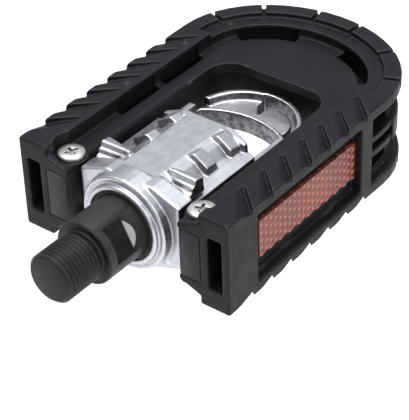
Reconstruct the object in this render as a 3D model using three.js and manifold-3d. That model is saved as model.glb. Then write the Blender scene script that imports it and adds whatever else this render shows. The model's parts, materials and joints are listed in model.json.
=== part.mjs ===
// A folding flat pedal for a bicycle. A die-cast alloy body turns on a steel spindle,
// and a moulded U-shaped cage hinges on two pins in the body. Springs in the arms of
// the cage hold it against the body, so that it is drawn outward before it folds.
// Millimetres, +Z up. X runs fore and aft, and +Y points away from the crank.
// The origin is the centre of the flat end of the spindle's thread.
import * as THREE from 'three';
import { mergeVertices } from 'three/addons/utils/BufferGeometryUtils.js';
import Module from 'manifold-3d';

const wasm = await Module();
wasm.setup();

// ---- Driving dimensions. Every y below is measured from the arm ends. ----
const ARM_END_Y = 28; // from the spindle's end face to the cage's arm ends
const WIDTH = 69; // of the cage, fore and aft
const LENGTH = 100; // of the cage, from its arm ends to its curved end
const HEIGHT = 28.4; // over both treads

const CURVE_START = 70.8; // where the straight sides turn into the curved end
const RIM_WIDTH = 9.3;
const WEB_TOP = 9.7; // half the thickness inside the rims
const FLANGE_UNDER = 10.4; // height of the rim's overhang above the side recess
const RECESS_DEPTH = 3.2; // of the recess round the cage's outside, between its flanges
const WINDOW_DEPTH = 6; // of the two windows behind the fins
const SIDE_START = 12.2; // the side recess runs from here to SIDE_END
const SIDE_END = 59.1;
const WINDOW_START = 64.1; // the fin window runs from here to BAND_START
const BAND_START = 77;
const OPENING_HALF = 18.4; // half the space between the arms
const OPENING_CORNER = 7.5;
const LIP_Y = 68.2; // end of the opening at the two lips
const FOLD_RADIUS = 53.6; // of the lips' faces about the pivot
const GROOVE_Y = 70.3; // end of the opening between the two lips
const GROOVE_HALF = 6.6;

const TOOTH_PITCH = 8.5;
const TOOTH_COUNT = 7;
const FIRST_TOOTH_Y = 10.2;
const TOOTH_DEPTH = 1.95;
const TOOTH_RAMP = 5.6; // the rest of the pitch is a flat crest
const TOOTH_REACH = 7.4; // from the cage's side inward
const TOOTH_SLANT = 0.9; // how far a step leans outward, per mm inward
const BLOCK_WIDTH = 4.9; // of the tread blocks on the curved end
const LEDGE_TOP = 12.6;
const BLOCK_GAP = 1.2;

const PIVOT_Y = 15;
const PIN_RADIUS = 2;

const BARREL_FRONT = 3.4;
const BARREL_TOP = 12.8;
const BARREL_HALF = 16.4;
const FLANK_TOP = 7.7; // height of the barrel's sides between its mouth and its nose
const NOSE_Y = 37.2;
const RING_CENTRE = 51.4;
const RING_RADIUS = 16.75;
const RING_HALF_HEIGHT = 4.2;
const FLOOR_HALF = 1.9;
const MOON_CENTRE = 32.5; // of the half-moon hole between the barrel and the ring's rib
const MOON_RADIUS = 23.35;
const RIB_HALF = 2.9;

const COLLAR_RADIUS = 9.1;
const WRENCH_HALF = 7.5;
const BALL_RADIUS = 1.5875;
const BALL_COUNT = 8;
const CLEARANCE = 0.1;
const INNER_BEARING = { outer: 9.25, race: 7.05, y: 6, lip: 7.3, back: 8.55, mouth: 4.2 };
const OUTER_BEARING = { outer: 8.55, race: 6.3, y: 27, lip: 6.6, back: 24.7, mouth: 29 };

const HALF_WIDTH = WIDTH / 2;
const HALF_HEIGHT = HEIGHT / 2;
const CURVE_LENGTH = LENGTH - CURVE_START;
const SCREW = { x: 21.8, y: 6.3, headRadius: 3.8, headTop: 11.15, shank: 1.45 };
const INSERT = { inner: 18.9, outer: 25.3, half: 7.2, end: 6.9, shelfEnd: 9.6, shelf: 3.9 };
const BLOCK = { start: 11, end: 19, half: 3.5 };
const SPRING = { x: 22.1, radius: 2.1, wire: 0.4, start: 2.05, turns: 4 };
const LENS = { start: 15.7, end: 59, half: 5.6, back: 31.25, face: 32.55 };

// ---- Materials ----
function surface(color, roughness, metalness) {
  return new THREE.MeshStandardMaterial({ color, roughness, metalness });
}
const BLACK_NYLON = surface(0x26262a, 0.55, 0);
const CAST_ALLOY = surface(0xc3c3c8, 0.3, 1);
const BLACK_STEEL = surface(0x2f2f33, 0.4, 0.8);
const BRIGHT_STEEL = surface(0xcfcfcf, 0.25, 1);
const BEARING_STEEL = surface(0xb4b6ba, 0.15, 1);
const RUBBER = surface(0x141414, 0.8, 0);
const AMBER_LENS = surface(0xb4502f, 0.2, 0);

// ---- Solids: a solid is a manifold made from a three.js geometry ----
function solid(geometry) {
  const bare = new THREE.BufferGeometry();
  const source = geometry.index ? geometry.toNonIndexed() : geometry;
  bare.setAttribute('position', source.getAttribute('position'));
  const merged = mergeVertices(bare, 1e-4);
  return new wasm.Manifold(new wasm.Mesh({
    numProp: 3,
    vertProperties: merged.getAttribute('position').array,
    triVerts: new Uint32Array(merged.index.array),
  }));
}

function join(...solids) {
  return solids.reduce((sum, next) => sum.add(next));
}

function cut(body, ...tools) {
  return tools.reduce((rest, tool) => rest.subtract(tool), body);
}

// A plan shape given thickness from z = low to z = high, with its edges rounded by `edge`.
function slab(shape, low, high, edge = 0, curveSegments = 12) {
  const geometry = new THREE.ExtrudeGeometry(shape, {
    depth: high - low - 2 * edge,
    bevelEnabled: edge > 0,
    bevelSize: edge,
    bevelThickness: edge,
    bevelOffset: -edge,
    bevelSegments: edge > 0.4 ? 2 : 1,
    curveSegments,
  });
  return geometry.translate(0, 0, low + edge);
}

// A shape drawn in (x, z) given length from y = start to y = end.
function bar(shape, start, end, edge = 0) {
  const geometry = slab(shape, -end, -start, edge);
  return geometry.rotateX(Math.PI / 2);
}

function box(x0, x1, y0, y1, z0, z1) {
  const geometry = new THREE.BoxGeometry(x1 - x0, y1 - y0, z1 - z0);
  return geometry.translate((x0 + x1) / 2, (y0 + y1) / 2, (z0 + z1) / 2);
}

function polygon(points) {
  return new THREE.Shape(points.map(([x, y]) => new THREE.Vector2(x, y)));
}

function circle(x, y, radius) {
  return new THREE.Shape().absarc(x, y, radius, 0, 2 * Math.PI, false);
}

// A solid of revolution about the spindle's axis, from a profile of [radius, y] points.
function turned(profile, segments = 36) {
  const points = profile.map(([radius, y]) => new THREE.Vector2(radius, y));
  return new THREE.LatheGeometry(points, segments);
}

function rod(radius, start, end, segments = 24) {
  return turned([[0, start], [radius, start], [radius, end], [0, end]], segments);
}

// The same geometry on the other side of a plane, with its faces still pointing out.
function mirrored(geometry, x, y, z) {
  const flat = geometry.index ? geometry.toNonIndexed() : geometry.clone();
  flat.scale(x, y, z);
  const position = flat.getAttribute('position');
  const a = new THREE.Vector3();
  const b = new THREE.Vector3();
  for (let i = 0; i < position.count; i += 3) {
    a.fromBufferAttribute(position, i + 1);
    b.fromBufferAttribute(position, i + 2);
    position.setXYZ(i + 1, b.x, b.y, b.z);
    position.setXYZ(i + 2, a.x, a.y, a.z);
  }
  return flat;
}

// A geometry as solids at both ends of the pedal, at both faces, or at all four places.
function foreAndAft(geometry) {
  return [solid(geometry), solid(mirrored(geometry, -1, 1, 1))];
}

function aboveAndBelow(geometry) {
  return [solid(geometry), solid(mirrored(geometry, 1, 1, -1))];
}

function allFour(geometry) {
  return [...foreAndAft(geometry), ...foreAndAft(mirrored(geometry, 1, 1, -1))];
}

// ---- The cage ----
// The U-shaped outline of the cage in plan, moved inward by `inset`, from y = start.
function outline(inset, start = 0) {
  const a = HALF_WIDTH - inset;
  const b = CURVE_LENGTH - inset;
  const shape = new THREE.Shape();
  shape.moveTo(a, start);
  shape.lineTo(a, CURVE_START);
  shape.absellipse(0, CURVE_START, a, b, 0, Math.PI, false);
  shape.lineTo(-a, start);
  return shape;
}

function opening(end) {
  const centre = OPENING_HALF - OPENING_CORNER;
  const shape = new THREE.Shape();
  shape.moveTo(OPENING_HALF, -1);
  shape.lineTo(OPENING_HALF, end - OPENING_CORNER);
  shape.absarc(centre, end - OPENING_CORNER, OPENING_CORNER, 0, Math.PI / 2, false);
  shape.absarc(-centre, end - OPENING_CORNER, OPENING_CORNER, Math.PI / 2, Math.PI, false);
  shape.lineTo(-OPENING_HALF, -1);
  return shape;
}

// The space between the arms: a groove between two lips that are round about the pivot,
// so that the cage clears the alloy body as it folds.
function openingSpace() {
  const ease = 0.9;
  const sides = new THREE.ExtrudeGeometry(opening(LIP_Y - 9), {
    depth: 8, bevelSize: ease, bevelThickness: ease, bevelSegments: 1, curveSegments: 12,
  });
  const facets = 144;
  const sweep = rod(FOLD_RADIUS, -WIDTH, WIDTH, facets).rotateZ(Math.PI / 2);
  const between = solid(slab(opening(LIP_Y), -HEIGHT, HEIGHT));
  return join(
    between.intersect(solid(sweep.translate(0, PIVOT_Y, 0))),
    solid(slab(opening(GROOVE_Y), -GROOVE_HALF, GROOVE_HALF)),
    ...aboveAndBelow(sides.translate(0, 0, WEB_TOP)),
  );
}

// One ramp of the saw-tooth tread: it falls from y = start to a step at y = end.
function toothPocket(start, end) {
  const above = HALF_HEIGHT + 2;
  const innerDepth = 1;
  const ramp = polygon([
    [start, HALF_HEIGHT],
    [end, HALF_HEIGHT - TOOTH_DEPTH],
    [end, above],
    [start, above],
  ]);
  const geometry = new THREE.ExtrudeGeometry(ramp, { depth: TOOTH_REACH + 1, bevelEnabled: false });
  const rise = (TOOTH_DEPTH - innerDepth) / TOOTH_REACH;
  return geometry.applyMatrix4(new THREE.Matrix4().set(
    0, 0, 1, HALF_WIDTH - TOOTH_REACH,
    1, 0, -TOOTH_SLANT, TOOTH_SLANT * TOOTH_REACH,
    0, 1, -rise, rise * TOOTH_REACH,
    0, 0, 0, 1,
  ));
}

function toothPockets() {
  const pockets = allFour(toothPocket(2.6, FIRST_TOOTH_Y));
  for (let tooth = 1; tooth < TOOTH_COUNT; tooth += 1) {
    const end = FIRST_TOOTH_Y + tooth * TOOTH_PITCH;
    pockets.push(...allFour(toothPocket(end - TOOTH_RAMP, end)));
  }
  return pockets;
}

// The lowered ledge inside the tread blocks of the curved end.
function ledge() {
  return aboveAndBelow(slab(outline(BLOCK_WIDTH, CURVE_START), LEDGE_TOP, HEIGHT));
}

// The narrow gaps between the tread blocks, square to the outline.
function blockGaps() {
  const gaps = [];
  for (const degrees of [12, 41, 70]) {
    const turn = THREE.MathUtils.degToRad(degrees);
    const x = HALF_WIDTH * Math.sin(turn);
    const y = CURVE_START + CURVE_LENGTH * Math.cos(turn);
    const normal = Math.atan2(Math.sin(turn) / HALF_WIDTH, Math.cos(turn) / CURVE_LENGTH);
    const reach = BLOCK_WIDTH + 0.6;
    const gap = box(-BLOCK_GAP / 2, BLOCK_GAP / 2, -reach, 3, LEDGE_TOP, HEIGHT);
    gaps.push(...allFour(gap.rotateZ(-normal).translate(x, y, 0)));
  }
  return gaps;
}

// The long slots beside the rims, two along each arm and two round the curved end.
function webSlots() {
  const floor = 3.5;
  const inner = 23.3;
  const outer = 26.6;
  const slots = [];
  for (const [start, end] of [[28.8, 45.4], [47.8, 65]]) {
    slots.push(...allFour(box(inner, outer, start, end, floor, 12.7)));
  }
  const band = new THREE.Shape();
  const from = THREE.MathUtils.degToRad(27);
  const to = THREE.MathUtils.degToRad(72);
  band.absellipse(0, CURVE_START, 26.7, 21.4, from, to, false);
  band.absellipse(0, CURVE_START, 22.6, 16.8, to, from, true);
  slots.push(...allFour(slab(band, floor, 11.4)));
  return slots;
}

// What stands out between the flanges: end blocks, posts, two fins and a bumper band.
function sideDetails() {
  const endBlock = box(HALF_WIDTH - RIM_WIDTH + 1, HALF_WIDTH, 0, SIDE_START, -13, 13);
  const post = box(29, HALF_WIDTH, SIDE_END, WINDOW_START, -12, 12);
  const fins = aboveAndBelow(slab(outline(1.4, SIDE_END + 1), 1.4, 3.3));
  const rim = cut(join(...fins), solid(slab(outline(WINDOW_DEPTH + 1, 0), -5, 5)));
  const keep = solid(box(-WIDTH, WIDTH, BAND_START, LENGTH + 9, -HEIGHT, HEIGHT));
  const band = solid(slab(outline(0.7, SIDE_END), -3.5, 3.5, 0.5)).intersect(keep);
  return join(...foreAndAft(endBlock), ...foreAndAft(post), rim, band);
}

// The deeper windows behind the fins, between each post and the bumper band.
function finWindows() {
  const whole = solid(box(-WIDTH, WIDTH, WINDOW_START, BAND_START, -9, 9));
  return cut(whole, solid(slab(outline(WINDOW_DEPTH), -HEIGHT, HEIGHT)));
}

function armLugs() {
  const lug = slab(circle(SCREW.x, SCREW.y, 4.5), 6, WEB_TOP);
  const gusset = bar(polygon([[18.6, 9], [26.5, 12], [26.5, 9]]), 0, 2.2);
  return [...allFour(lug), ...allFour(gusset)];
}

// The cuts at each arm's end: the empty slot, the insert's pocket and the block's channel.
function armCuts() {
  const emptySlot = box(27.8, 32.2, -1, 11, -8.2, 8.2);
  const pocket = box(
    OPENING_HALF - 2, INSERT.outer + CLEARANCE,
    -1, INSERT.shelfEnd + CLEARANCE,
    -INSERT.half - CLEARANCE, INSERT.half + CLEARANCE,
  );
  const channel = box(
    OPENING_HALF - 2, INSERT.outer + CLEARANCE,
    INSERT.shelfEnd, BLOCK.end + 0.6,
    -BLOCK.half - CLEARANCE, BLOCK.half + CLEARANCE,
  );
  return [emptySlot, pocket, channel].flatMap(foreAndAft);
}

// A hole for each screw, and round seats for the heads at both faces.
function screwHoles() {
  const hole = slab(circle(SCREW.x, SCREW.y, SCREW.shank + 0.25), 0, HEIGHT, 0, 6);
  const seat = slab(circle(SCREW.x, SCREW.y, SCREW.headRadius + 0.8), WEB_TOP, HEIGHT);
  return [...foreAndAft(hole), ...allFour(seat)];
}

function reflectorPocket() {
  const half = LENS.half + 0.2;
  return foreAndAft(box(30.3, HALF_WIDTH + 1, LENS.start - 0.2, LENS.end + CLEARANCE, -half, half));
}

function cage() {
  const web = solid(slab(outline(RECESS_DEPTH), -WEB_TOP, WEB_TOP));
  const solidRim = solid(slab(outline(RECESS_DEPTH), -12, 12));
  const rimSpace = solid(slab(outline(RIM_WIDTH, -1), -HEIGHT, HEIGHT));
  const flangePlate = slab(outline(0), FLANGE_UNDER, HALF_HEIGHT, 0.55);
  const flanges = cut(join(...aboveAndBelow(flangePlate)), rimSpace);
  const core = join(cut(solidRim, rimSpace), web);
  const walls = join(cut(core, finWindows()), flanges, sideDetails());
  const open = cut(walls, openingSpace());
  const shaped = join(open, ...armLugs());
  return cut(
    shaped,
    ...ledge(),
    ...blockGaps(),
    ...toothPockets(),
    ...webSlots(),
    ...armCuts(),
    ...screwHoles(),
    ...reflectorPocket(),
  );
}

// ---- Pieces in the arms of the cage (drawn on the +X side) ----
function armInsert() {
  const { inner, outer, half, end, shelfEnd, shelf } = INSERT;
  const plate = box(inner, outer, 0, end, -half, half);
  const shelves = aboveAndBelow(box(inner, outer, end - 1, shelfEnd, shelf, half));
  const springBore = rod(SPRING.radius + SPRING.wire + 0.3, 2, end + 1);
  const hole = slab(circle(SCREW.x, SCREW.y, SCREW.shank + 0.05), shelf - 1, half + 1, 0, 6);
  return cut(join(solid(plate), ...shelves), solid(springBore.translate(SPRING.x, 0, 0)), solid(hole));
}

function pivotBlock() {
  const { inner, outer } = INSERT;
  const profile = polygon([
    [inner + 0.1, -BLOCK.half], [outer - CLEARANCE, -BLOCK.half],
    [outer - CLEARANCE, BLOCK.half], [inner + 0.1, BLOCK.half],
  ]);
  const hole = rod(PIN_RADIUS + 0.05, -40, 0).rotateZ(Math.PI / 2).translate(0, PIVOT_Y, 0);
  return cut(solid(bar(profile, BLOCK.start, BLOCK.end, 0.3)), solid(hole));
}

function pivotPin() {
  const chamfer = 0.3;
  const start = 11.6;
  const end = 25;
  const pin = turned([
    [0, -end], [PIN_RADIUS - chamfer, -end], [PIN_RADIUS, -end + chamfer],
    [PIN_RADIUS, -start - chamfer], [PIN_RADIUS - chamfer, -start], [0, -start],
  ], 24);
  return solid(pin.rotateZ(Math.PI / 2).translate(0, PIVOT_Y, 0));
}

// A helical spring between the arm insert and the pivot block.
class Helix extends THREE.Curve {
  constructor(radius, length, turns) {
    super();
    this.radius = radius;
    this.length = length;
    this.turns = turns;
  }

  getPoint(t, target = new THREE.Vector3()) {
    const angle = 2 * Math.PI * this.turns * t;
    const x = this.radius * Math.cos(angle);
    const z = this.radius * Math.sin(angle);
    return target.set(x, this.length * t, z);
  }
}

function spring() {
  const { x, radius, wire, start, turns } = SPRING;
  const length = BLOCK.start - 0.05 - start - 2 * wire;
  const section = new THREE.Shape().absarc(0, 0, wire, 0, 2 * Math.PI, false);
  const geometry = new THREE.ExtrudeGeometry(section, {
    steps: turns * 10,
    curveSegments: 3,
    extrudePath: new Helix(radius, length, turns),
  });
  return solid(geometry.translate(x, start + wire, 0));
}

function screw() {
  const { x, y, headRadius, headTop, shank } = SCREW;
  const seat = WEB_TOP + 0.02;
  const tip = 4.4;
  const profile = [
    [0, tip], [0.5, tip], [shank, tip + 1], [shank, seat], [headRadius, seat],
    [headRadius, seat + 0.85], [headRadius * 0.93, headTop - 0.25],
    [headRadius * 0.6, headTop], [0, headTop],
  ];
  const body = turned(profile, 24).rotateX(Math.PI / 2);
  const slot = 0.42;
  const reach = 1.9;
  const cross = [
    box(-reach, reach, -slot, slot, headTop - 1, headTop + 1),
    box(-slot, slot, -reach, reach, headTop - 1, headTop + 1),
  ].map((arm) => solid(arm.rotateZ(0.4)));
  const headed = cut(solid(body), ...cross);
  return headed.translate([x, y, 0]);
}

// ---- Reflectors (drawn on the +X side) ----
function roundedPlate(half, start, end, corner) {
  const shape = new THREE.Shape();
  shape.moveTo(start + corner, -half);
  shape.lineTo(end - corner, -half);
  shape.absarc(end - corner, corner - half, corner, -Math.PI / 2, 0, false);
  shape.absarc(end - corner, half - corner, corner, 0, Math.PI / 2, false);
  shape.absarc(start + corner, half - corner, corner, Math.PI / 2, Math.PI, false);
  shape.absarc(start + corner, corner - half, corner, Math.PI, Math.PI * 1.5, false);
  return shape;
}

// A plate drawn in (y, z) given thickness from x = back to x = front.
function sidePlate(shape, back, front, edge = 0) {
  const geometry = slab(shape, back, front, edge, 2);
  return geometry.applyMatrix4(new THREE.Matrix4().set(
    0, 0, 1, 0,
    1, 0, 0, 0,
    0, 1, 0, 0,
    0, 0, 0, 1,
  ));
}

function reflectorLens() {
  const plate = roundedPlate(LENS.half, LENS.start, LENS.end, 1);
  return solid(sidePlate(plate, LENS.back, LENS.face, 0.2));
}

function reflectorBack() {
  const plate = roundedPlate(LENS.half - 0.3, LENS.start + 0.3, LENS.end - 0.3, 1);
  return solid(sidePlate(plate, 30.35, LENS.back - 0.03));
}

// ---- The alloy body ----
// The upper half of a section in (x, z), given on the +X side from the top down, made whole.
function symmetricSection(corner) {
  const upper = [...corner, ...corner.map(([x, z]) => [x, -z]).reverse()];
  const other = upper.map(([x, z]) => [-x, z]).reverse();
  return polygon([...upper, ...other]);
}

// The barrel has broad shoulders at the mouth and at the nose, and a round waist between.
function barrelBlock() {
  const mouth = symmetricSection([[7.6, BARREL_TOP], [BARREL_HALF, 9.6]]);
  const waist = symmetricSection([[5.6, BARREL_TOP], [8.6, 11.4], [11.2, 9], [BARREL_HALF, FLANK_TOP]]);
  const nose = symmetricSection([
    [8, BARREL_TOP], [13.7, 10.9], [13.9, FLANK_TOP], [BARREL_HALF, FLANK_TOP],
  ]);
  const plan = polygon([
    [BARREL_HALF + 1, BARREL_FRONT - 1], [BARREL_HALF + 1, 35.4], [13.2, 36.2],
    [9, 37], [7, NOSE_Y], [-7, NOSE_Y], [-9, 37], [-13.2, 36.2], [-BARREL_HALF - 1, 35.4],
    [-BARREL_HALF - 1, BARREL_FRONT - 1],
  ]);
  const block = join(
    solid(bar(mouth, BARREL_FRONT, 9.4, 0.6)),
    solid(bar(waist, BARREL_FRONT + 2, NOSE_Y, 0)),
    solid(bar(nose, 34.6, NOSE_Y + 1, 0.3)),
  );
  return block.intersect(solid(slab(plan, -HEIGHT, HEIGHT)));
}

// Two stepped rings round the mouth of the bore.
function mouthRings() {
  return solid(turned([
    [9, BARREL_FRONT + 4], [9, -0.6], [11.3, -0.6], [11.7, -0.2], [11.7, 0.9],
    [13.3, 0.5], [13.8, 1], [13.8, BARREL_FRONT + 4], [9, BARREL_FRONT + 4],
  ], 40));
}

// A cast tooth on the barrel's shoulder. Its face towards the crank is upright, its ridge
// is near the flat top, and it falls away fore or aft.
function castTooth(y) {
  const length = 4.3;
  const section = polygon([
    [5.4, 12.5], [7.7, 13.8], [8.3, 13.7], [12.1, 11.2], [12.4, 10.6], [12.4, 8.5], [5.4, 8.5],
  ]);
  const geometry = bar(section, 0, length, 0.15);
  return geometry.applyMatrix4(new THREE.Matrix4().set(
    1, 0, 0, 0,
    0, 1, 0, y,
    0, -0.12, 1, 0,
    0, 0, 0, 1,
  ));
}

// The first tooth: a rib that widens like a fan towards the barrel's side, with flutes along
// the slope that faces the crank.
function fanTooth() {
  const inner = 6.4;
  const outer = 15.7;
  const crest = 11.8;
  const narrowest = 0.45;
  const flutes = 3;
  const foot = new THREE.Vector2(crest - 4, 9);
  const edge = new THREE.Vector2(crest - 0.5, 13.6);
  const inward = new THREE.Vector2(0.48, -0.36);
  const slope = [];
  for (let flute = 0; flute < flutes; flute += 1) {
    slope.push(foot.clone().lerp(edge, flute / flutes));
    slope.push(foot.clone().lerp(edge, (flute + 0.45) / flutes).add(inward));
  }
  const ridge = [[crest + 0.2, 13.9], [crest + 3, 13.3], [crest + 3.4, 8.6]];
  const profile = polygon([...slope.map((point) => point.toArray()), edge.toArray(), ...ridge]);
  const geometry = sidePlate(profile, inner, outer, 0.2);
  const position = geometry.getAttribute('position');
  for (let i = 0; i < position.count; i += 1) {
    const along = (position.getX(i) - inner) / (outer - inner);
    const width = narrowest + (1 - narrowest) * along;
    position.setY(i, crest + (position.getY(i) - crest) * width);
  }
  return geometry;
}

// The plate outboard of the barrel: two rails that run into a round frame.
function ringPlan(radius) {
  const shape = new THREE.Shape();
  const start = Math.PI * 0.04;
  shape.moveTo(-BARREL_HALF, 26);
  shape.lineTo(BARREL_HALF, 26);
  shape.absarc(0, RING_CENTRE, radius, start, Math.PI - start, false);
  return shape;
}

// A segment of a circle beyond the barrel, from the nose to an arc with its centre on the axis.
function moonPlan(radius, half) {
  const shape = new THREE.Shape();
  const start = Math.acos(half / radius);
  shape.moveTo(-half, NOSE_Y - 5);
  shape.lineTo(half, NOSE_Y - 5);
  shape.absarc(0, MOON_CENTRE, radius, start, Math.PI - start, false);
  return shape;
}

// The hole between the ring's outer wall and the rounded lobe of its floor.
function pocketSpace() {
  const bowl = solid(slab(circle(0, RING_CENTRE, RING_RADIUS - 1.6), -HEIGHT, HEIGHT, 0, 18));
  const right = polygon([
    [-3.2, 70], [-3, 63.2], [-0.2, 59.1], [5, 57], [10, 53.6], [20, 53.6], [20, 70],
  ]);
  const wedge = polygon([[-3.2, 70], [-3, 63.2], [-0.2, 59.1], [-0.1, 62], [1, 63.9], [1, 70]]);
  const lobe = solid(slab(circle(3.7, 56.6, 7.6), -HEIGHT, HEIGHT, 0, 16));
  const beside = cut(solid(slab(right, -HEIGHT, HEIGHT)), lobe);
  return bowl.intersect(beside.add(solid(slab(wedge, -HEIGHT, HEIGHT))));
}

// The ring: a thin floor with a round wall beyond it, a low rib before it and a rail at each side.
function ringFrame() {
  const floor = solid(slab(ringPlan(RING_RADIUS - 1), -FLOOR_HALF, FLOOR_HALF, 0.2, 18));
  const outline = circle(0, RING_CENTRE, RING_RADIUS);
  const drum = solid(slab(outline, -RING_HALF_HEIGHT, RING_HALF_HEIGHT, 0.5, 18));
  const flare = new THREE.CylinderGeometry(RING_RADIUS - 1.2, RING_RADIUS - 2.6, 4, 36);
  const bowls = aboveAndBelow(flare.rotateX(Math.PI / 2).translate(0, RING_CENTRE, 3.9));
  const core = solid(slab(circle(0, RING_CENTRE, RING_RADIUS - 2.4), -2, 2, 0, 18));
  const far = solid(box(-20, 20, RING_CENTRE + 4, 80, -HEIGHT, HEIGHT));
  const wall = cut(drum, ...bowls, core).intersect(far);
  const inside = solid(slab(ringPlan(RING_RADIUS - 1.4), -HEIGHT, HEIGHT, 0, 18));
  const rib = solid(slab(moonPlan(MOON_RADIUS + 1.1, 15), -RIB_HALF, RIB_HALF, 0.25, 18));
  const rails = foreAndAft(box(13, BARREL_HALF, 28, RING_CENTRE - 2, -5.5, 5.5));
  const moon = solid(slab(moonPlan(MOON_RADIUS, 14.2), -HEIGHT, HEIGHT, 0, 18));
  return cut(join(floor, wall, rib.intersect(inside), ...rails), moon, pocketSpace());
}

function bodyBores() {
  return solid(turned([
    [0, -2], [10.3, -2], [10.3, 2.4], [9.3, 2.4], [9.3, 8.6], [7, 8.6], [7, 24.65],
    [8.6, 24.65], [8.6, 31.4], [9.2, 31.4], [9.2, NOSE_Y + 2], [0, NOSE_Y + 2],
  ]));
}

function alloyBody() {
  const boss = rod(6.2, -17.9, -10, 32).rotateZ(Math.PI / 2).translate(0, PIVOT_Y, 0);
  const pinHole = rod(PIN_RADIUS + 0.03, -20, -11.5).rotateZ(Math.PI / 2).translate(0, PIVOT_Y, 0);
  const teeth = [castTooth(20.4), castTooth(30.5), fanTooth()].flatMap(allFour);
  const cast = join(barrelBlock(), mouthRings(), ringFrame(), ...teeth, ...foreAndAft(boss));
  return cut(cast, bodyBores(), ...foreAndAft(pinHole));
}

// ---- Spindle and bearings ----
// The two flats on the collar, each with a sloping run-out at its outboard end.
function wrenchFlats() {
  const beyond = 12;
  const turn = THREE.MathUtils.degToRad(-27);
  const profile = polygon([
    [WRENCH_HALF, -12.4], [beyond, -12.4], [beyond, 2.3], [WRENCH_HALF, -5.3],
  ]);
  const flat = slab(profile, -beyond, beyond).rotateY(turn);
  return [solid(flat), solid(flat.clone().rotateY(Math.PI))];
}

function spindle() {
  const thread = 7.14;
  const root = 6.5;
  const pitch = 1.27;
  const seat = -15;
  const profile = [[0, -ARM_END_Y], [root - 0.3, -ARM_END_Y]];
  for (let turn = 0; turn < 9; turn += 1) {
    const y = 0.3 - ARM_END_Y + turn * pitch;
    profile.push([root, y], [thread, y + pitch / 2]);
  }
  profile.push(
    [root - 0.2, seat - 0.9], [thread + 0.1, seat - 0.6], [thread + 0.1, seat],
    [COLLAR_RADIUS - 0.4, seat], [COLLAR_RADIUS, seat + 0.4],
    [COLLAR_RADIUS, 2.6], [7.2, 3.1], [5.7, 4.6], [5.4, 6.4], [5.4, 24.8],
    [3.5, 25.2], [3.5, 35.6], [3.1, 36], [0, 36],
  );
  return cut(solid(turned(profile)), ...wrenchFlats());
}

function sealRing() {
  return solid(turned([
    [COLLAR_RADIUS + 0.05, -0.3], [10.2, -0.3], [10.2, 2.3], [9.7, 2.3], [9.7, 0.8],
    [COLLAR_RADIUS + 0.05, 0.5], [COLLAR_RADIUS + 0.05, -0.3],
  ]));
}

// A cup whose race slopes at 45 degrees behind the balls. Its back is towards +y when
// side is 1 and towards -y when side is -1.
function bearingCup(bearing, side) {
  const { outer, race, y, lip, back, mouth } = bearing;
  const reach = BALL_RADIUS + 0.03;
  const slope = reach * (Math.SQRT2 - 1);
  const profile = [
    [outer, mouth], [outer, back], [lip, back], [lip, y + side * reach],
    [race + slope, y + side * reach], [race + reach, y + side * slope], [race + reach, mouth],
    [outer, mouth],
  ];
  return solid(turned(side > 0 ? profile : profile.reverse()));
}

function bearingBall({ race, y }, index) {
  const ball = new THREE.IcosahedronGeometry(BALL_RADIUS, 1);
  const angle = (2 * Math.PI * index) / BALL_COUNT;
  return solid(ball.translate(race * Math.cos(angle), y, race * Math.sin(angle)));
}

function outerCone() {
  return solid(turned([
    [3.55, 25.3], [4.4, 25.3], [4.4, 27.4], [6.6, 29.6], [6.6, 31.2], [3.55, 31.2], [3.55, 25.3],
  ]));
}

function keyedWasher() {
  return solid(turned([[3.55, 31.23], [5.8, 31.23], [5.8, 32.2], [3.55, 32.2], [3.55, 31.23]]));
}

function lockNut() {
  const hexagon = new THREE.Shape();
  for (let corner = 0; corner < 6; corner += 1) {
    const angle = (Math.PI / 3) * corner;
    const point = [6 * Math.cos(angle), 6 * Math.sin(angle)];
    if (corner === 0) hexagon.moveTo(...point);
    else hexagon.lineTo(...point);
  }
  hexagon.holes.push(new THREE.Path().absarc(0, 0, 3.55, 0, 2 * Math.PI, true));
  return solid(bar(hexagon, 32.23, 35.2));
}

function dustCap() {
  return solid(turned([
    [0, 36.3], [8.2, 36.3], [8.2, 33.4], [9.1, 33.4], [9.1, NOSE_Y + 0.1],
    [6.5, NOSE_Y + 0.7], [0, NOSE_Y + 0.7],
  ]));
}

// ---- The scene graph ----
const pedal = new THREE.Group();

function add(name, made, material) {
  const { vertProperties, triVerts } = made.getMesh();
  const geometry = new THREE.BufferGeometry();
  geometry.setAttribute('position', new THREE.BufferAttribute(vertProperties, 3));
  geometry.setIndex(new THREE.BufferAttribute(triVerts, 1));
  const mesh = new THREE.Mesh(geometry, material);
  mesh.name = name;
  pedal.add(mesh);
}

function turnedRound(made) {
  return made.mirror([1, 0, 0]);
}

// Adds a piece drawn on the +X side, and its twin on the -X side.
function addPair(name, made, material) {
  add(`${name}_front`, made, material);
  add(`${name}_rear`, turnedRound(made), material);
}

add('spindle', spindle(), BLACK_STEEL);
add('seal_ring', sealRing(), RUBBER);
add('inner_cup', bearingCup(INNER_BEARING, 1), BEARING_STEEL);
add('outer_cup', bearingCup(OUTER_BEARING, -1), BEARING_STEEL);
add('outer_cone', outerCone(), BEARING_STEEL);
add('keyed_washer', keyedWasher(), BRIGHT_STEEL);
add('lock_nut', lockNut(), BRIGHT_STEEL);
add('dust_cap', dustCap(), BLACK_NYLON);
for (let ball = 0; ball < BALL_COUNT; ball += 1) {
  add(`inner_ball_${ball + 1}`, bearingBall(INNER_BEARING, ball), BEARING_STEEL);
  add(`outer_ball_${ball + 1}`, bearingBall(OUTER_BEARING, ball), BEARING_STEEL);
}
add('alloy_body', alloyBody(), CAST_ALLOY);
add('cage', cage(), BLACK_NYLON);
addPair('pivot_pin', pivotPin(), BRIGHT_STEEL);
addPair('pivot_block', pivotBlock(), BLACK_STEEL);
addPair('spring', spring(), BRIGHT_STEEL);
addPair('arm_insert', armInsert(), BLACK_NYLON);
addPair('screw', screw(), BRIGHT_STEEL);
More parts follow.
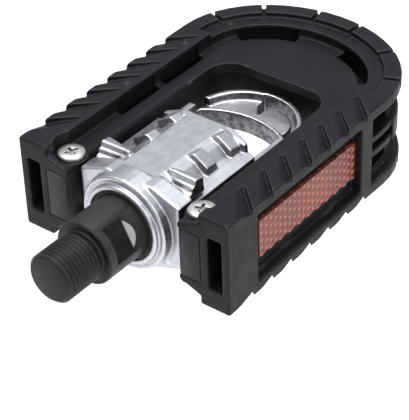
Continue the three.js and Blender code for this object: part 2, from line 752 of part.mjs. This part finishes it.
addPair('reflector_lens', reflectorLens(), AMBER_LENS);
addPair('reflector_back', reflectorBack(), BLACK_NYLON);

pedal.position.y = ARM_END_Y;

export default pedal;
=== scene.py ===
"""The visual model of a folding flat pedal: a moulded cage on a cast alloy body and a steel spindle.

Lengths are in metres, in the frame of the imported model: the spindle's axis is +Y and the top is +Z.
"""
import json
import math

import bmesh
import bpy
from mathutils import Matrix, Vector


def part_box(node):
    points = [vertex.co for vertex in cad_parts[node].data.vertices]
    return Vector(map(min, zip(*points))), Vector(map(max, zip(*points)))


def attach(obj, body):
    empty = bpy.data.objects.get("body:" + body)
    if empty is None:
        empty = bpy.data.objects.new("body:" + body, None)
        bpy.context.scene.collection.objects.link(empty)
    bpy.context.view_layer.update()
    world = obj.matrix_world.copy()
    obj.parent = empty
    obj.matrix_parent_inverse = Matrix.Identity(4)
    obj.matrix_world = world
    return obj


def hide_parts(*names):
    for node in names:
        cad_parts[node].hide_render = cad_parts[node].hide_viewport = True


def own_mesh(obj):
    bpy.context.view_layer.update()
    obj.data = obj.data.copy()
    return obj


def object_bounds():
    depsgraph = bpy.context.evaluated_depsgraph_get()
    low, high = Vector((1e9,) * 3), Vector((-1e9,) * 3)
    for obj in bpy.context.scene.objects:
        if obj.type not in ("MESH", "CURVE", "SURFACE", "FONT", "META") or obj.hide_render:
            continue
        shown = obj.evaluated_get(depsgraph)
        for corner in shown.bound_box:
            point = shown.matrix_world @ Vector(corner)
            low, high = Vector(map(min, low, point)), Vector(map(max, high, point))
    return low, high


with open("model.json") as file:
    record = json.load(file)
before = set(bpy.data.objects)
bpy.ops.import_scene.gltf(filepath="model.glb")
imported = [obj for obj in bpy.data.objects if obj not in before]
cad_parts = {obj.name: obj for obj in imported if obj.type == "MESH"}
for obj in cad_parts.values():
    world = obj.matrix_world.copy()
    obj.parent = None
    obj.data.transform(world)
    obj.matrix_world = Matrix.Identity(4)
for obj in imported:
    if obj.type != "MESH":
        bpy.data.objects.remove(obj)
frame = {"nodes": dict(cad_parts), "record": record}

cad_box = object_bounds()
low, high = cad_box
middle = (low + high) / 2
scene = bpy.context.scene
nodes = frame["nodes"]
MM = 0.001

# ---------------------------------------------------------------- rounded edges

WELD_DISTANCE = 0.001 * MM
SHARP = math.radians(30)  # edges that turn by more than this get a chamfer
CHAMFER = 0.08 * MM
SMOOTHING_PASSES = 3


def weld(node):
    """Joins the doubled points along a CAD node's edges, so that modifiers see one surface."""
    modifier = nodes[node].modifiers.new("weld", "WELD")
    modifier.merge_threshold = WELD_DISTANCE


def worn_round(node, voxel, kept):
    """Edges and inner corners rounded as a mould leaves them: a fine remesh, smoothed, then thinned."""
    weld(node)
    remesh = nodes[node].modifiers.new("remesh", "REMESH")
    remesh.mode = "VOXEL"
    remesh.voxel_size = voxel
    remesh.use_smooth_shade = True
    smooth = nodes[node].modifiers.new("smooth", "SMOOTH")
    smooth.factor = 0.5
    smooth.iterations = SMOOTHING_PASSES
    thin = nodes[node].modifiers.new("thin", "DECIMATE")
    thin.ratio = kept


def chamfered(node):
    """A small rounded chamfer on the sharp edges of a simple CAD node."""
    weld(node)
    bevel = nodes[node].modifiers.new("bevel", "BEVEL")
    bevel.width = CHAMFER
    bevel.segments = 2
    bevel.limit_method = "ANGLE"
    bevel.angle_limit = SHARP
    bevel.harden_normals = True


# ---------------------------------------------------------------- node materials


class Shader:
    """A material being built: each method adds a node and gives back its output."""

    def __init__(self, name):
        self.material = bpy.data.materials.new(name)
        self.material.use_nodes = True
        self.tree = self.material.node_tree
        self.surface = self.tree.nodes["Principled BSDF"]
        where = self.node("ShaderNodeTexCoord").outputs
        self.place, self.facing = where["Object"], where["Normal"]

    def node(self, kind, inputs=None, **settings):
        """A node of this kind, with its settings and its inputs filled in."""
        made = self.tree.nodes.new(kind)
        for key, value in settings.items():
            setattr(made, key, value)
        for key, value in (inputs or {}).items():
            self.feed(made.inputs[key], value)
        return made

    def feed(self, socket, value):
        """Links another node's output to the socket, or sets a constant on it."""
        if isinstance(value, bpy.types.NodeSocket):
            self.tree.links.new(value, socket)
        else:
            socket.default_value = value

    def math(self, operation, *values):
        """One arithmetic step on the values."""
        made = self.node("ShaderNodeMath", operation=operation)
        for socket, value in zip(made.inputs, values):
            self.feed(socket, value)
        return made.outputs[0]

    def axes(self, where=None):
        """The x, y and z of a vector, which is the place on the piece unless another is given."""
        return self.node("ShaderNodeSeparateXYZ", {0: where or self.place}).outputs

    def scaled(self, x, y, z):
        """The place on the piece, stretched along each axis."""
        return self.node("ShaderNodeMapping", {"Vector": self.place, "Scale": (x, y, z)}).outputs[0]

    def noise(self, size, detail=3.0, rough=0.5, where=None):
        """Cloudy noise whose lumps are about size metres across."""
        inputs = {"Vector": where or self.place, "Scale": 1 / size, "Detail": detail, "Roughness": rough}
        return self.node("ShaderNodeTexNoise", inputs).outputs["Fac"]

    def openness(self, reach):
        """1 where nothing stands within this reach of the surface, towards 0 where it is hemmed in."""
        return self.node("ShaderNodeAmbientOcclusion", {"Distance": reach}).outputs["AO"]

    def span(self, value, low, high, to_low=0.0, to_high=1.0):
        """value's run from low to high, spread smoothly from to_low to to_high."""
        names = ("From Min", "From Max", "To Min", "To Max")
        inputs = dict(zip(names, (low, high, to_low, to_high)))
        made = self.node("ShaderNodeMapRange", inputs, interpolation_type="SMOOTHSTEP")
        self.feed(made.inputs["Value"], value)
        return made.outputs["Result"]

    def mix(self, share, first, second):
        """Two colours mixed by share."""
        made = self.node("ShaderNodeMix", data_type="RGBA")
        for socket, value in zip((made.inputs[0], made.inputs[6], made.inputs[7]), (share, first, second)):
            self.feed(socket, value)
        return made.outputs[2]

    def bump(self, height, distance, strength=1.0, after=None):
        """Relief from a height, on top of an earlier relief if one is given."""
        inputs = {"Height": height, "Distance": distance, "Strength": strength}
        if after is not None:
            inputs["Normal"] = after
        return self.node("ShaderNodeBump", inputs).outputs["Normal"]

    def edge(self, low, high):
        """Near 1 on outer edges, where handling and wear show."""
        return self.span(self.node("ShaderNodeNewGeometry").outputs["Pointiness"], low, high)

    def finish(self, **sockets):
        """Feeds the surface's sockets and gives back the material."""
        for key, value in sockets.items():
            self.feed(self.surface.inputs[key.replace("_", " ").title().replace("Ior", "IOR")], value)
        return self.material


def moulded_nylon():
    """Glass-filled nylon: near black, with a fine moulded grain, faint flow marks and paler worn edges."""
    s = Shader("moulded_nylon")
    deep, pale, worn = (0.0056, 0.0056, 0.0074, 1), (0.0084, 0.0084, 0.0108, 1), (0.032, 0.032, 0.035, 1)
    grain = s.noise(0.35 * MM, 2.0)
    flow = s.noise(1.0, 2.0, 0.5, s.scaled(140, 45, 140))
    scuff = s.noise(4 * MM, 5.0, 0.7)
    tone = s.mix(s.span(flow, 0.35, 0.65), deep, pale)
    tone = s.mix(s.math("MULTIPLY", s.edge(0.505, 0.56), 0.75), tone, worn)
    rough = s.span(scuff, 0.3, 0.7, 0.42, 0.56)
    normal = s.bump(grain, 0.03 * MM, 0.5)
    return s.finish(base_color=tone, roughness=rough, normal=normal, specular_ior_level=0.21)


PAST_NOSE = high.y - 61.5 * MM  # just past the barrel's far end, where only the ring is left
NOSE_BLEND = 1.5 * MM


def cast_alloy():
    """Die-cast aluminium: bright, with streaky painted shade where sheltered and a streaky painted dark
    reflection on the ring's walls.
    """
    s = Shader("cast_alloy")
    dull, bright, burnished = (0.525, 0.53, 0.56, 1), (0.595, 0.60, 0.625, 1), (0.80, 0.80, 0.81, 1)
    shade_and_reflection_deep, shade_and_reflection_pale = (0.07, 0.07, 0.075, 1), (0.28, 0.28, 0.29, 1)
    ripple = s.noise(3.2 * MM, 3.0, 0.55)
    streak = s.noise(1.0, 4.0, 0.6, s.scaled(700, 160, 700))
    fine = s.noise(0.5 * MM, 2.0)
    tone = s.mix(s.span(streak, 0.35, 0.7), dull, bright)
    tone = s.mix(s.edge(0.51, 0.57), tone, burnished)
    # painted shade: darker where other parts hem the surface in
    painted_shade_and_reflection = s.span(s.openness(14 * MM), 0.35, 0.8, 0.85, 0.0)
    # painted dark reflection: upright faces of the ring past the barrel's nose are darkened as if they
    # mirror the shadowed barrel
    upright = s.span(s.math("ABSOLUTE", s.axes(s.facing)[2]), 0.35, 0.75, 1.0, 0.0)
    beyond_nose = s.span(s.axes()[1], PAST_NOSE, PAST_NOSE + NOSE_BLEND)
    painted_shade_and_reflection = s.math("MAXIMUM", painted_shade_and_reflection, s.math("MULTIPLY", upright, beyond_nose))
    # the streaky dark tone used for the painted shade and the painted dark reflection
    shade_and_reflection_tone = s.mix(s.span(streak, 0.3, 0.7), shade_and_reflection_deep, shade_and_reflection_pale)
    tone = s.mix(painted_shade_and_reflection, tone, shade_and_reflection_tone)
    rough = s.span(ripple, 0.3, 0.7, 0.34, 0.42)
    normal = s.bump(ripple, 0.25 * MM, 0.22)
    normal = s.bump(fine, 0.02 * MM, 0.5, normal)
    return s.finish(base_color=tone, metallic=1.0, roughness=rough, normal=normal)


LATHE_PITCH = 0.28 * MM
REFLECTION_INNER_RADIUS, REFLECTION_OUTER_RADIUS = 8.35 * MM, 8.5 * MM  # from the axis: the painted reflection fades out between them
REFLECTION_START, REFLECTION_END = 22.3 * MM, 26.4 * MM  # along the spindle
REFLECTION_FADE_IN, REFLECTION_FADE_OUT = 0.6 * MM, 0.2 * MM


def black_steel():
    """Blackened turned steel: lathe rings round the axis, and a pale painted reflection at one end of the
    flats.
    """
    s = Shader("black_steel")
    black, worn_black = (0.006, 0.006, 0.007, 1), (0.011, 0.011, 0.012, 1)
    edge_grey, reflection_grey = (0.04, 0.04, 0.042, 1), (0.30, 0.30, 0.31, 1)
    x, y, z = s.axes()
    rings = s.math("SINE", s.math("MULTIPLY", y, 2 * math.pi / LATHE_PITCH))
    patch = s.noise(2.5 * MM, 4.0, 0.6)
    tone = s.mix(s.span(patch, 0.35, 0.7), black, worn_black)
    tone = s.mix(s.edge(0.51, 0.57), tone, edge_grey)
    radius = s.math("SQRT", s.math("ADD", s.math("MULTIPLY", x, x), s.math("MULTIPLY", z, z)))
    # painted reflection: pale grey laid on the flats, near one end of the spindle
    near_axis = s.span(radius, REFLECTION_INNER_RADIUS, REFLECTION_OUTER_RADIUS, 1.0, 0.0)
    after_start = s.span(y, REFLECTION_START, REFLECTION_START + REFLECTION_FADE_IN)
    painted_reflection = s.math("MULTIPLY", near_axis, after_start)
    before_end = s.span(y, REFLECTION_END - REFLECTION_FADE_OUT, REFLECTION_END, 1.0, 0.0)
    painted_reflection = s.math("MULTIPLY", painted_reflection, before_end)
    tone = s.mix(painted_reflection, tone, reflection_grey)
    rough = s.span(patch, 0.3, 0.7, 0.38, 0.5)
    normal = s.bump(rings, 0.012 * MM, 0.4)
    return s.finish(base_color=tone, roughness=rough, normal=normal, specular_ior_level=0.2)


def bright_steel():
    """Plated screws and pins: pale and softly brushed, with painted shade in the recesses."""
    s = Shader("bright_steel")
    stained, clean, painted_recess_shade = (0.50, 0.50, 0.485, 1), (0.66, 0.66, 0.64, 1), (0.05, 0.048, 0.04, 1)
    brushed = s.noise(1.0, 3.0, 0.6, s.scaled(2500, 600, 2500))
    stain = s.noise(1.6 * MM, 3.0)
    tone = s.mix(s.span(stain, 0.35, 0.7), stained, clean)
    # painted shade: near black where the surface is hemmed in, as in the screws' cross recess
    tone = s.mix(s.span(s.openness(1.2 * MM), 0.2, 0.6, 0.8, 0.0), tone, painted_recess_shade)
    rough = s.span(brushed, 0.3, 0.7, 0.36, 0.48)
    return s.finish(base_color=tone, metallic=1.0, roughness=rough, normal=s.bump(brushed, 0.01 * MM, 0.3))


def bearing_steel():
    """Ground and hardened steel, with a light film of grease."""
    s = Shader("bearing_steel")
    greasy, ground = (0.48, 0.47, 0.44, 1), (0.66, 0.66, 0.66, 1)
    film = s.noise(1.2 * MM, 4.0, 0.6)
    tone = s.mix(s.span(film, 0.35, 0.65), greasy, ground)
    rough = s.span(film, 0.3, 0.7, 0.12, 0.3)
    normal = s.bump(film, 0.01 * MM, 0.3)
    return s.finish(base_color=tone, metallic=1.0, roughness=rough, normal=normal, coat_weight=0.2)


def seal_rubber():
    """Matt black rubber, dusty in patches."""
    s = Shader("seal_rubber")
    black, dusty = (0.010, 0.010, 0.010, 1), (0.030, 0.029, 0.028, 1)
    dust = s.noise(1.5 * MM, 5.0, 0.7)
    tone = s.mix(s.span(dust, 0.45, 0.75), black, dusty)
    normal = s.bump(s.noise(0.2 * MM, 2.0), 0.02 * MM, 0.5)
    return s.finish(base_color=tone, roughness=s.span(dust, 0.3, 0.7, 0.6, 0.8), normal=normal)


def amber_lens():
    """Orange-red reflector: glossy prisms, with a painted glint on their tips and painted shade in the
    valleys between them.
    """
    s = Shader("amber_lens")
    deep, amber = (0.165, 0.034, 0.024, 1), (0.235, 0.052, 0.032, 1)
    painted_valley_shade, painted_tip_glint = (0.070, 0.022, 0.016, 1), (0.56, 0.23, 0.15, 1)
    tip = s.node("ShaderNodeAttribute", attribute_name="tip").outputs["Fac"]
    clouds = s.noise(9 * MM, 2.0)
    tone = s.mix(s.span(clouds, 0.35, 0.65), deep, amber)
    # painted shade in the valleys between the prisms
    tone = s.mix(s.span(tip, 0.0, 0.45, 0.75, 0.0), tone, painted_valley_shade)
    # painted glint on the prisms' tips
    tone = s.mix(s.span(tip, 0.55, 1.0, 0.0, 0.8), tone, painted_tip_glint)
    rough = s.span(clouds, 0.3, 0.7, 0.24, 0.36)
    return s.finish(base_color=tone, roughness=rough, specular_ior_level=0.4)


MAKERS = {
    "black_nylon": moulded_nylon,
    "cast_alloy": cast_alloy,
    "black_steel": black_steel,
    "bright_steel": bright_steel,
    "bearing_steel": bearing_steel,
    "seal_rubber": seal_rubber,
    "amber_lens": amber_lens,
}
finishes = {slot: make() for slot, make in MAKERS.items()}


def dress(node, finish):
    """Gives a CAD node its finish."""
    piece = nodes[node]
    if not piece.material_slots:
        piece.data.materials.append(None)
    for slot in piece.material_slots:
        slot.material = finish


for part in frame["record"]["subparts"]:
    dress(part["node"], finishes[part["material_slot"]])

# ---------------------------------------------------------------- the reflectors' prisms

PRISM_PITCH = 2.4 * MM  # between the tips of neighbouring prisms
PRISM_DEPTH = 0.3 * MM
SPARE = 3  # rows and columns past the lens, which are cut off again


def prism_sheet(low, high):
    """Corner-cube prisms over a rectangle in (y, z): three interleaved sets of points at three depths."""
    mesh = bmesh.new()
    tip = mesh.verts.layers.float.new("tip")
    step = PRISM_PITCH / math.sqrt(3)
    row_height = step * math.sqrt(3) / 2
    rows = int((high.z - low.z) / row_height) + SPARE
    columns = int((high.y - low.y) / step) + rows + SPARE
    grid = {}
    for row in range(rows):
        for column in range(columns):
            level = (column - row) % 3
            x = high.x - level * PRISM_DEPTH / 2
            y = low.y - step + (column + 0.5 * row - rows // 2) * step
            point = mesh.verts.new((x, y, low.z + (row - 1) * row_height))
            point[tip] = 1 - level / 2
            grid[row, column] = point
    for row in range(rows - 1):
        for column in range(columns - 1):
            here, right = grid[row, column], grid[row, column + 1]
            above, corner = grid[row + 1, column], grid[row + 1, column + 1]
            mesh.faces.new((here, right, above))
            mesh.faces.new((right, corner, above))
    return mesh


def trim(mesh, low, high):
    """Cuts the sheet off at the four sides of the lens."""
    for axis, limit, outward in ((1, low.y, -1), (1, high.y, 1), (2, low.z, -1), (2, high.z, 1)):
        normal = Vector((0, 0, 0))
        normal[axis] = outward
        place = Vector((0, 0, 0))
        place[axis] = limit
        everything = mesh.verts[:] + mesh.edges[:] + mesh.faces[:]
        bmesh.ops.bisect_plane(mesh, geom=everything, plane_co=place, plane_no=normal, clear_outer=True)


def close_behind(mesh, back_x):
    """Walls from the sheet's rim down to a flat back at back_x."""
    rim = [edge for edge in mesh.edges if edge.is_boundary]
    walls = bmesh.ops.extrude_edge_only(mesh, edges=rim)["geom"]
    back = [v for v in walls if isinstance(v, bmesh.types.BMVert)]
    for point in back:
        point.co.x = back_x
    bmesh.ops.holes_fill(mesh, edges=[edge for edge in mesh.edges if edge.is_boundary])


def prism_lens(side, turn):
    """A reflector lens in place of the plain CAD plate. The rear one (turn -1) is the front one mirrored."""
    node = "reflector_lens_" + side
    low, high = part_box(node)
    if turn < 0:
        low, high = Vector((-high.x, low.y, low.z)), Vector((-low.x, high.y, high.z))
    mesh = prism_sheet(low, high)
    trim(mesh, low, high)
    close_behind(mesh, low.x)
    for point in mesh.verts:
        point.co.x *= turn
    bmesh.ops.recalc_face_normals(mesh, faces=mesh.faces[:])
    data = bpy.data.meshes.new("prism_lens_" + side)
    mesh.to_mesh(data)
    mesh.free()
    lens = bpy.data.objects.new("prism_lens_" + side, data)
    scene.collection.objects.link(lens)
    data.materials.append(finishes["amber_lens"])
    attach(lens, "cage")
    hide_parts(node)


prism_lens("front", 1)
prism_lens("rear", -1)

# ---------------------------------------------------------------- the pieces' edges

# node: (voxel of the remesh, share of its faces that is kept)
ROUNDED = {"cage": (0.3 * MM, 0.35), "alloy_body": (0.25 * MM, 0.5)}

for node, (voxel, kept) in ROUNDED.items():
    worn_round(node, voxel, kept)
for node in nodes:
    nodes[node].data.shade_smooth()
    if node not in ROUNDED:
        chamfered(node)

# ---------------------------------------------------------------- the springs


def closing_spring(side):
    """A copy of the CAD spring, edges rounded, carried by the cage."""
    plain = nodes["spring_" + side]
    graph = bpy.context.evaluated_depsgraph_get()
    data = bpy.data.meshes.new_from_object(plain.evaluated_get(graph), depsgraph=graph)
    spring = bpy.data.objects.new("coil_spring_" + side, data)
    spring.matrix_world = plain.matrix_world
    scene.collection.objects.link(spring)
    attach(spring, "cage")
    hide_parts("spring_" + side)
    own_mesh(spring)


closing_spring("front")
closing_spring("rear")

# ---------------------------------------------------------------- floor, light and camera

FLOOR_DROP = 0.12  # the pedal hangs this high above the floor, as on its crank
FLOOR_HALF = 1.5


def floor():
    """A wide pale sheet some way under the pedal."""
    mesh = bmesh.new()
    bmesh.ops.create_grid(mesh, x_segments=1, y_segments=1, size=FLOOR_HALF)
    data = bpy.data.meshes.new("floor")
    mesh.to_mesh(data)
    mesh.free()
    sheet = bpy.data.objects.new("floor", data)
    sheet.location = (middle.x, middle.y, low.z - FLOOR_DROP)
    scene.collection.objects.link(sheet)
    s = Shader("pale_floor")
    tone = s.mix(s.noise(0.2, 2.0), (0.90, 0.90, 0.90, 1), (0.93, 0.93, 0.93, 1))
    data.materials.append(s.finish(base_color=tone, roughness=0.8))


def soft_box(name, place, power, width, height):
    """An area light that looks at the pedal's middle, from a place measured from there."""
    lamp = bpy.data.lights.new(name, "AREA")
    lamp.shape = "RECTANGLE"
    lamp.size, lamp.size_y = width, height
    lamp.energy = power
    holder = bpy.data.objects.new(name, lamp)
    holder.location = middle + Vector(place)
    holder.rotation_euler = Vector(place).to_track_quat("Z", "Y").to_euler()
    scene.collection.objects.link(holder)


SKY_LOW, SKY_HIGH = (0.30, 0.31, 0.33, 1), (0.86, 0.88, 0.92, 1)
SKY_TOP = 0.9  # height of the brightest tone, from 0 at the horizon to 1 overhead


def sky():
    """A plain surround that is grey up to the horizon and pale overhead."""
    world = bpy.data.worlds.new("studio")
    world.use_nodes = True
    tree = world.node_tree
    place = tree.nodes.new("ShaderNodeTexCoord")
    axes = tree.nodes.new("ShaderNodeSeparateXYZ")
    ramp = tree.nodes.new("ShaderNodeValToRGB")
    steps = ramp.color_ramp.elements
    steps[0].position, steps[0].color = 0.0, SKY_LOW
    steps[1].position, steps[1].color = SKY_TOP, SKY_HIGH
    tree.links.new(place.outputs["Generated"], axes.inputs[0])
    tree.links.new(axes.outputs["Z"], ramp.inputs["Fac"])
    tree.links.new(ramp.outputs["Color"], tree.nodes["Background"].inputs["Color"])
    scene.world = world


AZIMUTH = math.radians(39.156)  # round from straight in front of the spindle's end
ELEVATION = math.radians(36.401)
ROLL = math.radians(-2.188)
TARGET = Vector((0.01323, 0.04544, 0))  # the point that the camera looks at
DISTANCE = 0.4546
FOCAL_LENGTH, SENSOR_WIDTH = 154.03, 36  # in millimetres
SIDE_SHIFT = 0.0012
NEAREST = 0.01


def camera():
    """The camera stands above the spindle's end and the front side, a little rolled, with a long lens."""
    flat = math.cos(ELEVATION)
    back = Vector((math.sin(AZIMUTH) * flat, -math.cos(AZIMUTH) * flat, math.sin(ELEVATION)))
    right = Vector((math.cos(AZIMUTH), math.sin(AZIMUTH), 0))
    up = back.cross(right)
    across = right * math.cos(ROLL) + up * math.sin(ROLL)
    upward = up * math.cos(ROLL) - right * math.sin(ROLL)
    data = bpy.data.cameras.new("camera")
    data.sensor_fit = "HORIZONTAL"
    data.sensor_width = SENSOR_WIDTH
    data.lens = FOCAL_LENGTH
    data.shift_x = SIDE_SHIFT
    data.clip_start = NEAREST
    holder = bpy.data.objects.new("camera", data)
    place = TARGET + back * DISTANCE
    rows = [(across[i], upward[i], back[i], place[i]) for i in range(3)]
    holder.matrix_world = Matrix(rows + [(0, 0, 0, 1)])
    scene.collection.objects.link(holder)
    scene.camera = holder


floor()
sky()
soft_box("key", place=(-0.08, -0.05, 0.9), power=10, width=0.9, height=0.9)
soft_box("fill", place=(0.7, -0.1, 0.35), power=2, width=0.3, height=0.5)
camera()
scene.view_settings.view_transform = "Standard"
